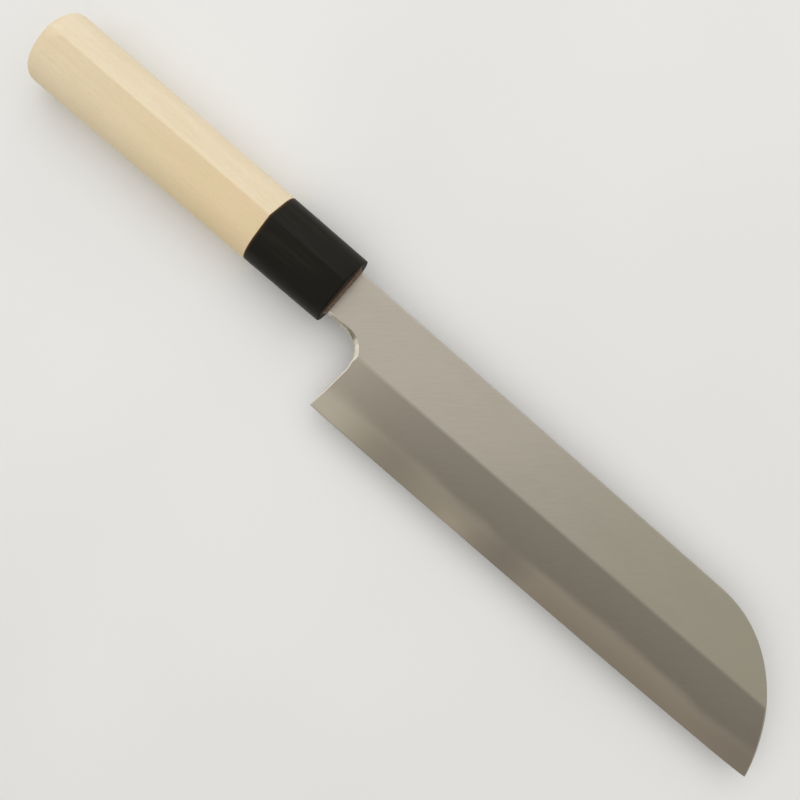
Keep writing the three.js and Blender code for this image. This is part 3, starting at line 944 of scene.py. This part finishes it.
def face_points(outline):
    """Points on the flat and bevel: a plain grid, and three close rows along the bevel line."""
    grid = plain_grid(outline)
    grid = grid[np.abs(grid[:, 1] - bevel_y(grid[:, 0])) > FACE_MARGIN]
    x = np.arange(0, TIP_X, LINE_SPACING)
    rows = [np.column_stack((x, bevel_y(x) + shift * BEVEL_LINE_SOFTNESS)) for shift in (-1, 0, 1)]
    rows = [row[inside(row, outline, SUPPORT_INSET)] for row in rows]
    return grid, rows


def back_points(outline):
    """Points on the back: a plain grid on the rim, and rows along the hollow."""
    grid = plain_grid(outline)
    middle, half = hollow_span(grid[:, 0])
    grid = grid[(np.abs(grid[:, 1] - middle) > half + FACE_MARGIN) | (half < HOLLOW_LEAST_HALF)]
    x = np.arange(HOLLOW_START, TIP_X, HOLLOW_SPACING)
    middle, half = hollow_span(x)
    x, middle, half = [values[half > HOLLOW_LEAST_HALF] for values in (x, middle, half)]
    shares = np.linspace(-1, 1, HOLLOW_ROWS + 1)
    return grid, [np.column_stack((x, middle + share * half)) for share in shares]


def fill(outline, grid, rows):
    """Triangles within an outline, through a grid and along rows of points."""
    first = len(outline) + len(grid)
    edges = []
    for row in rows:
        edges += [(i, i + 1) for i in range(first, first + len(row) - 1)]
        first += len(row)
    points = np.vstack((outline, grid, *rows))
    places = [Vector(point) for point in points]
    loop = list(range(len(outline)))
    _, _, triangles, *_ = geometry.delaunay_2d_cdt(places, edges, [loop], FILL_INSIDE, FILL_TOLERANCE)
    return points, triangles


def face_zone(x, y):
    """Zone of a place on the face."""
    if x < -SHOULDER_DEPTH:
        return TANG
    return FLAT if y > bevel_y(x) else BEVEL


def back_zone(x, y):
    """Zone of a place on the back."""
    if x < -SHOULDER_DEPTH:
        return TANG
    middle, half = hollow_span(x)
    return HOLLOW if half > HOLLOW_LEAST_HALF and abs(y - middle) < half else RIM


def ground_blade(materials):
    """The whole blade as ground, with its tang, before the weld line divides it."""
    outline, face_round, back_round, kind = blade_outline()
    inward = inward_normals(outline)
    is_edge = kind == BEVEL
    land = face_z(outline[:, 0], outline[:, 1]) - KEEN_LAND
    face_drop = np.where(is_edge, land, CORNER_SLANT * face_round)
    face_side = corner_rings(outline, inward, face_round, face_drop, face_z, 1)
    back_drop = np.where(is_edge, KEEN_LAND / 2, CORNER_SLANT * back_round)
    back_side = corner_rings(outline, inward, back_round, back_drop, back_z, -1)[::-1]
    rings = face_side + back_side
    count = len(outline)
    top, top_faces = fill(face_side[0][:, :2], *face_points(face_side[0][:, :2]))
    under, under_faces = fill(back_side[-1][:, :2], *back_points(back_side[-1][:, :2]))

    inner_top = top[count:]
    inner_under = under[count:]
    vertices = np.vstack((
        *rings,
        np.column_stack((inner_top, face_z(inner_top[:, 0], inner_top[:, 1]))),
        np.column_stack((inner_under, back_z(inner_under[:, 0], inner_under[:, 1]))),
    ))
    after_rings = count * len(rings)
    after_top = after_rings + len(inner_top)
    under_ring = count * (len(rings) - 1)
    faces = band(count, len(rings))
    zones = np.tile(kind, len(rings) - 1).tolist()
    for face in top_faces:
        faces.append([i if i < count else i - count + after_rings for i in face])
        zones.append(face_zone(*top[face].mean(axis=0)))
    for face in under_faces:
        faces.append([under_ring + i if i < count else i - count + after_top for i in reversed(face)])
        zones.append(back_zone(*under[face].mean(axis=0)))
    return mesh_object("ground_iron", vertices, faces, materials, zones)


def weld_tool(materials):
    """Everything on the back's side of the weld line."""
    x = np.arange(STEEL_START, TIP_X + TOOL_OVERSHOOT, WELD_SPACING)
    low, high = HEEL_Y - BLADE_HEIGHT, SPINE_RISE + TOOL_OVERSHOOT
    vertices, faces = loft([ring_at(at, rectangle(low, high, -TOOL_OVERSHOOT, weld_z(at))) for at in x])
    return mesh_object("weld_tool", vertices, faces, materials, [TANG] * len(faces))


def make_blade():
    """The ground blade, divided along the weld into its iron body and its steel plate."""
    finishes = (satin_flat, misty_bevel, polished_corners, eased_spine, flat_back, hollow_back, forge_scale)
    materials = [finish() for finish in finishes]
    iron = ground_blade(materials)
    steel = iron.copy()
    steel.data = iron.data.copy()
    steel.name = "steel_plate"
    bpy.context.scene.collection.objects.link(steel)
    tool = weld_tool(materials)
    combine(steel, tool, "INTERSECT", keep_tool=True)
    combine(iron, tool, "DIFFERENCE")
    finish_piece(iron, "blade_iron")
    finish_piece(steel, "edge_steel")
    keep_border_sharp(steel, TANG)


# Handle, ferrule and seal

def blend_point(ridge, facet_end, x):
    """Where the ridge's rounding meets a facet; the rounding grows towards the butt."""
    softness = max(0, 1 - (x - BUTT_X) / BUTT_RIDGE_FADE)
    blend = RIDGE_ROUND + softness * (BUTT_RIDGE_ROUND - RIDGE_ROUND)
    length = np.linalg.norm(facet_end - ridge)
    return ridge + (facet_end - ridge) * min(blend / length, RIDGE_BLEND_SHARE)


def handle_ring(x, inset):
    """D-shaped section a skin's depth inside the CAD: an oval with facets rising to one softened ridge."""
    along = (x - BUTT_X) / -BUTT_X
    half_height = (BUTT_HEIGHT + along * (FRONT_HEIGHT - BUTT_HEIGHT)) / 2 - inset - SKIN
    half_depth = (BUTT_DEPTH + along * (FRONT_DEPTH - BUTT_DEPTH)) / 2 - inset - SKIN
    middle = -BUTT_DROP * (1 - along)
    half = np.array((half_height, half_depth))
    ridge = np.array((RIDGE_OFFSET - middle, half_depth + RIDGE_RISE))
    reach = ridge / half
    aim = math.atan2(reach[1], reach[0])
    opening = math.acos(1 / np.linalg.norm(reach))
    turn = np.linspace(aim + opening, aim - opening + 2 * math.pi, OVAL_STEPS + 1)
    oval = half * np.column_stack((np.cos(turn), np.sin(turn)))
    upper = blend_point(ridge, oval[-1], x)
    lower = blend_point(ridge, oval[0], x)
    share = np.linspace(0, 1, RIDGE_STEPS + 1)[:, None]
    crest = (1 - share) ** 2 * upper + 2 * share * (1 - share) * ridge + share ** 2 * lower
    facet = np.linspace(0, 1, FACET_STEPS + 1)[1:-1, None]
    upper_facet = oval[-1] + facet * (upper - oval[-1])
    lower_facet = lower + facet * (oval[0] - lower)
    points = np.vstack((oval, upper_facet, crest, lower_facet))
    return ring_at(x, points[::-1] + (middle, AXIS_Z))


def rounded_end(x, radius, direction):
    """Rings from an end face at x, inwards over a quarter circle, with one ring inside the face."""
    rings = [handle_ring(x, radius + SUPPORT_INSET)]
    for turn in np.linspace(0, math.pi / 2, ROUND_STEPS + 1):
        along = direction * radius * (1 - math.cos(turn))
        rings.append(handle_ring(x + along, radius * (1 - math.sin(turn))))
    return rings


def straight_rings(from_x, to_x):
    """Full sections evenly spaced between two places, without those at the places themselves."""
    count = max(2, round((to_x - from_x) / GRIP_SPACING))
    return [handle_ring(x, 0) for x in np.linspace(from_x, to_x, count + 1)[1:-1]]


def axis_rod(name, diameter, from_x, to_x, material):
    """Round rod along the handle's axis."""
    turn = np.linspace(0, -2 * math.pi, OVAL_STEPS, endpoint=False)
    circle = diameter / 2 * np.column_stack((np.cos(turn), np.sin(turn))) + (NECK_SHIFT, AXIS_Z)
    return mesh_object(name, *loft([ring_at(x, circle) for x in (from_x, to_x)]), [material])


def tang_socket(material):
    """Tool for the socket: the tapered bar of the tang, grown by a clearance."""
    root = np.array((TANG_ROOT_HEIGHT, NECK_THICKNESS)) / 2
    tip = np.array((TANG_TIP_HEIGHT, TANG_TIP_THICKNESS)) / 2
    rings = []
    for x in (TANG_END - SOCKET_CLEARANCE, -FRONT_WALL + TOOL_OVERSHOOT):
        share = (x + SHOULDER_DEPTH) / (TANG_END + SHOULDER_DEPTH)
        high, deep = root + share * (tip - root) + SOCKET_CLEARANCE
        corners = rectangle(NECK_SHIFT - high, NECK_SHIFT + high, AXIS_Z - deep, AXIS_Z + deep)
        rings.append(ring_at(x, corners))
    return mesh_object("tang_socket", *loft(rings), [material])


def mouth_outline(allowance, corner):
    """Rounded rectangle round the neck, grown by an allowance, clockwise as seen from the tip."""
    reach = np.array((NECK_HEIGHT, NECK_THICKNESS)) / 2 + allowance - corner
    points = []
    for quarter, signs in enumerate(((1, 1), (-1, 1), (-1, -1), (1, -1))):
        turn = np.linspace(0, math.pi / 2, ROUND_STEPS + 1) + quarter * math.pi / 2
        points.append(reach * signs + corner * np.column_stack((np.cos(turn), np.sin(turn))))
    return np.vstack(points)[::-1] + (NECK_SHIFT, AXIS_Z)


def make_handle():
    """Wooden grip with a turned tenon and a socket for the tang."""
    wood = magnolia_wood()
    front = JOINT_X - JOINT_GAP
    faded = BUTT_X + BUTT_RIDGE_FADE
    rings = rounded_end(BUTT_X, BUTT_ROUND, 1)
    rings += straight_rings(BUTT_X + BUTT_ROUND, faded) + [handle_ring(faded, 0)]
    rings += straight_rings(faded, front - JOINT_ROUND)
    rings += rounded_end(front, JOINT_ROUND, -1)[::-1]
    grip = mesh_object("wood_grip", *loft(rings), [wood])
    tenon_ends = (JOINT_X - TENON_DIAMETER, -FRONT_WALL - JOINT_GAP)
    combine(grip, axis_rod("tenon", TENON_DIAMETER, *tenon_ends, wood), "UNION")
    combine(grip, tang_socket(wood), "DIFFERENCE")
    finish_piece(grip, "handle")


def make_ferrule():
    """Horn ring, bored for the tenon and slotted for the neck, with its own finish on the front end."""
    horn = buffalo_horn()
    rings = rounded_end(JOINT_X, JOINT_ROUND, 1)
    rings += straight_rings(JOINT_X + JOINT_ROUND, -FERRULE_ROUND)
    rings += rounded_end(0, FERRULE_ROUND, -1)[::-1]
    ferrule = mesh_object("horn_ferrule", *loft(rings), [horn])
    bore = TENON_DIAMETER + 2 * BORE_CLEARANCE
    combine(ferrule, axis_rod("bore", bore, JOINT_X - TOOL_OVERSHOOT, -FRONT_WALL, horn), "DIFFERENCE")
    slot = mouth_outline(SLOT_ROOM, SLOT_CORNER)
    slot_rings = [ring_at(x, slot) for x in (-FRONT_WALL - TOOL_OVERSHOOT, TOOL_OVERSHOOT)]
    combine(ferrule, mesh_object("slot", *loft(slot_rings), [horn]), "DIFFERENCE")
    end_place = len(ferrule.data.materials)
    ferrule.data.materials.append(horn_end())
    for face in ferrule.data.polygons:
        if face.center.x > ORIGIN.x - FERRULE_ROUND * MM and face.normal.x > HORN_END_FACING:
            face.material_index = end_place
    finish_piece(ferrule, "ferrule")


def make_seal():
    """Ring of resin whose front dishes up from the horn to the neck."""
    outer = mouth_outline(SLOT_ROOM - SEAL_GAP, SLOT_CORNER - SEAL_GAP)
    inner = mouth_outline(SEAL_GAP, SEAL_GAP)
    rings = [ring_at(SEAL_BACK, inner), ring_at(SEAL_BACK, outer)]
    for share in np.linspace(0, 1, ROUND_STEPS + 1):
        rings.append(ring_at(SEAL_FRONT * share ** 2, outer + share * (inner - outer)))
    count = len(outer)
    faces = band(count, len(rings))
    last = count * (len(rings) - 1)
    for side in range(count):
        after = (side + 1) % count
        faces.append([last + side, side, after, last + after])
    seal = mesh_object("resin_seal", np.vstack(rings), faces, [brown_resin()])
    finish_piece(seal, "tang_seal")


# Studio, with its places and lengths in metres

FLOOR_CLOUD = dict(size=160, detail=2)
FLOOR_PALE = srgb(238, 237, 234)
FLOOR_SHADE = srgb(234, 233, 230)
FLOOR_ROUGHNESS = 0.9
FLOOR_SPECULAR = 0.1
FLOOR_RADIUS = 1.2
FLOOR_SIDES = 96
WORLD_LIGHT = 0.34
WORLD_SEEN = 0.75
CEILING_HEIGHT = 1.2
CEILING_WIDTH = 3.4
CEILING_GLOW = 0.42
PANEL_PLACE = Vector((-0.587, 0.275, 1.1))
PANEL_SIZE = (3.6, 1.6)
PANEL_TURN = math.radians(55.5)
PANEL_GLOW = 0.54
KEY_AIM = Vector((-0.45, 0.75, 0.48)).normalized()
KEY_DISTANCE = 1.4
KEY_WIDTH = 1.4
KEY_GLOW = 0.7


def plain_floor():
    """Pale matt floor with the faintest of clouds."""
    look = Finish("plain_floor")
    return look.done(
        base_color=look.mix(look.ramp(look.noise(**FLOOR_CLOUD), *MOST_TONES), FLOOR_SHADE, FLOOR_PALE),
        roughness=FLOOR_ROUGHNESS,
        specular_ior_level=FLOOR_SPECULAR,
    )


def make_floor():
    """Round floor that the knife lies on."""
    turn = np.linspace(0, 2 * math.pi, FLOOR_SIDES, endpoint=False)
    rim = FLOOR_RADIUS * np.column_stack((np.cos(turn), np.sin(turn), 0 * turn))
    mesh = bpy.data.meshes.new("floor")
    mesh.from_pydata(rim.tolist(), [], [list(range(FLOOR_SIDES))])
    mesh.materials.append(plain_floor())
    floor = bpy.data.objects.new("floor", mesh)
    bpy.context.scene.collection.objects.link(floor)


def soft_lamp(name, shape, size, glow, place, aim):
    """Area lamp at a place, shining against the direction aim. Its glow is its brightness at any size."""
    lamp = bpy.data.lights.new(name, "AREA")
    lamp.shape = shape
    lamp.size, lamp.size_y = size
    box_share = math.pi / 4 if shape == "DISK" else 1
    lamp.energy = glow * math.pi * size[0] * size[1] * box_share
    shining = bpy.data.objects.new(name, lamp)
    shining.location = place
    shining.rotation_euler = aim.to_track_quat("Z", "Y").to_euler()
    bpy.context.scene.collection.objects.link(shining)
    return shining


def make_world():
    """Even room light, which the camera, gloss and glass see as a brighter background."""
    world = bpy.data.worlds.new("studio")
    world.use_nodes = True
    nodes, links = world.node_tree.nodes, world.node_tree.links
    path = nodes.new("ShaderNodeLightPath").outputs
    seen = path["Is Camera Ray"]
    for ray in ("Is Glossy Ray", "Is Transmission Ray"):
        either = nodes.new("ShaderNodeMath")
        either.operation = "MAXIMUM"
        links.new(seen, either.inputs[0])
        links.new(path[ray], either.inputs[1])
        seen = either.outputs[0]
    strength = nodes.new("ShaderNodeMapRange")
    strength.inputs["To Min"].default_value = WORLD_LIGHT
    strength.inputs["To Max"].default_value = WORLD_SEEN
    links.new(seen, strength.inputs["Value"])
    background = nodes["Background"]
    background.inputs["Color"].default_value = (1, 1, 1, 1)
    links.new(strength.outputs["Result"], background.inputs["Strength"])
    bpy.context.scene.world = world


def make_lamps():
    """A wide ceiling that gloss doesn't show, a panel over the handle's side and a key from the left."""
    up = Vector((0, 0, 1))
    ceiling_size = (CEILING_WIDTH, CEILING_WIDTH)
    ceiling = soft_lamp("ceiling", "DISK", ceiling_size, CEILING_GLOW, up * CEILING_HEIGHT, up)
    ceiling.visible_glossy = False
    panel = soft_lamp("panel", "RECTANGLE", PANEL_SIZE, PANEL_GLOW, PANEL_PLACE, up)
    panel.rotation_euler = (0, 0, PANEL_TURN)
    soft_lamp("key", "DISK", (KEY_WIDTH, KEY_WIDTH), KEY_GLOW, KEY_AIM * KEY_DISTANCE, KEY_AIM)


def make_camera():
    """Straight down on the knife, turned so that it lies across the picture from corner to corner."""
    lens = bpy.data.cameras.new("camera")
    lens.lens = CAMERA_LENS
    lens.sensor_width = CAMERA_SENSOR
    lens.clip_start = CAMERA_CLIP * MM
    camera = bpy.data.objects.new("camera", lens)
    camera.location = ORIGIN + CAMERA_PLACE * MM
    camera.rotation_euler.z = CAMERA_ROLL
    bpy.context.scene.collection.objects.link(camera)
    bpy.context.scene.camera = camera


make_camera()
make_world()
make_lamps()
make_floor()
make_blade()
make_handle()
make_ferrule()
make_seal()
bpy.context.scene.view_settings.view_transform = "Standard"
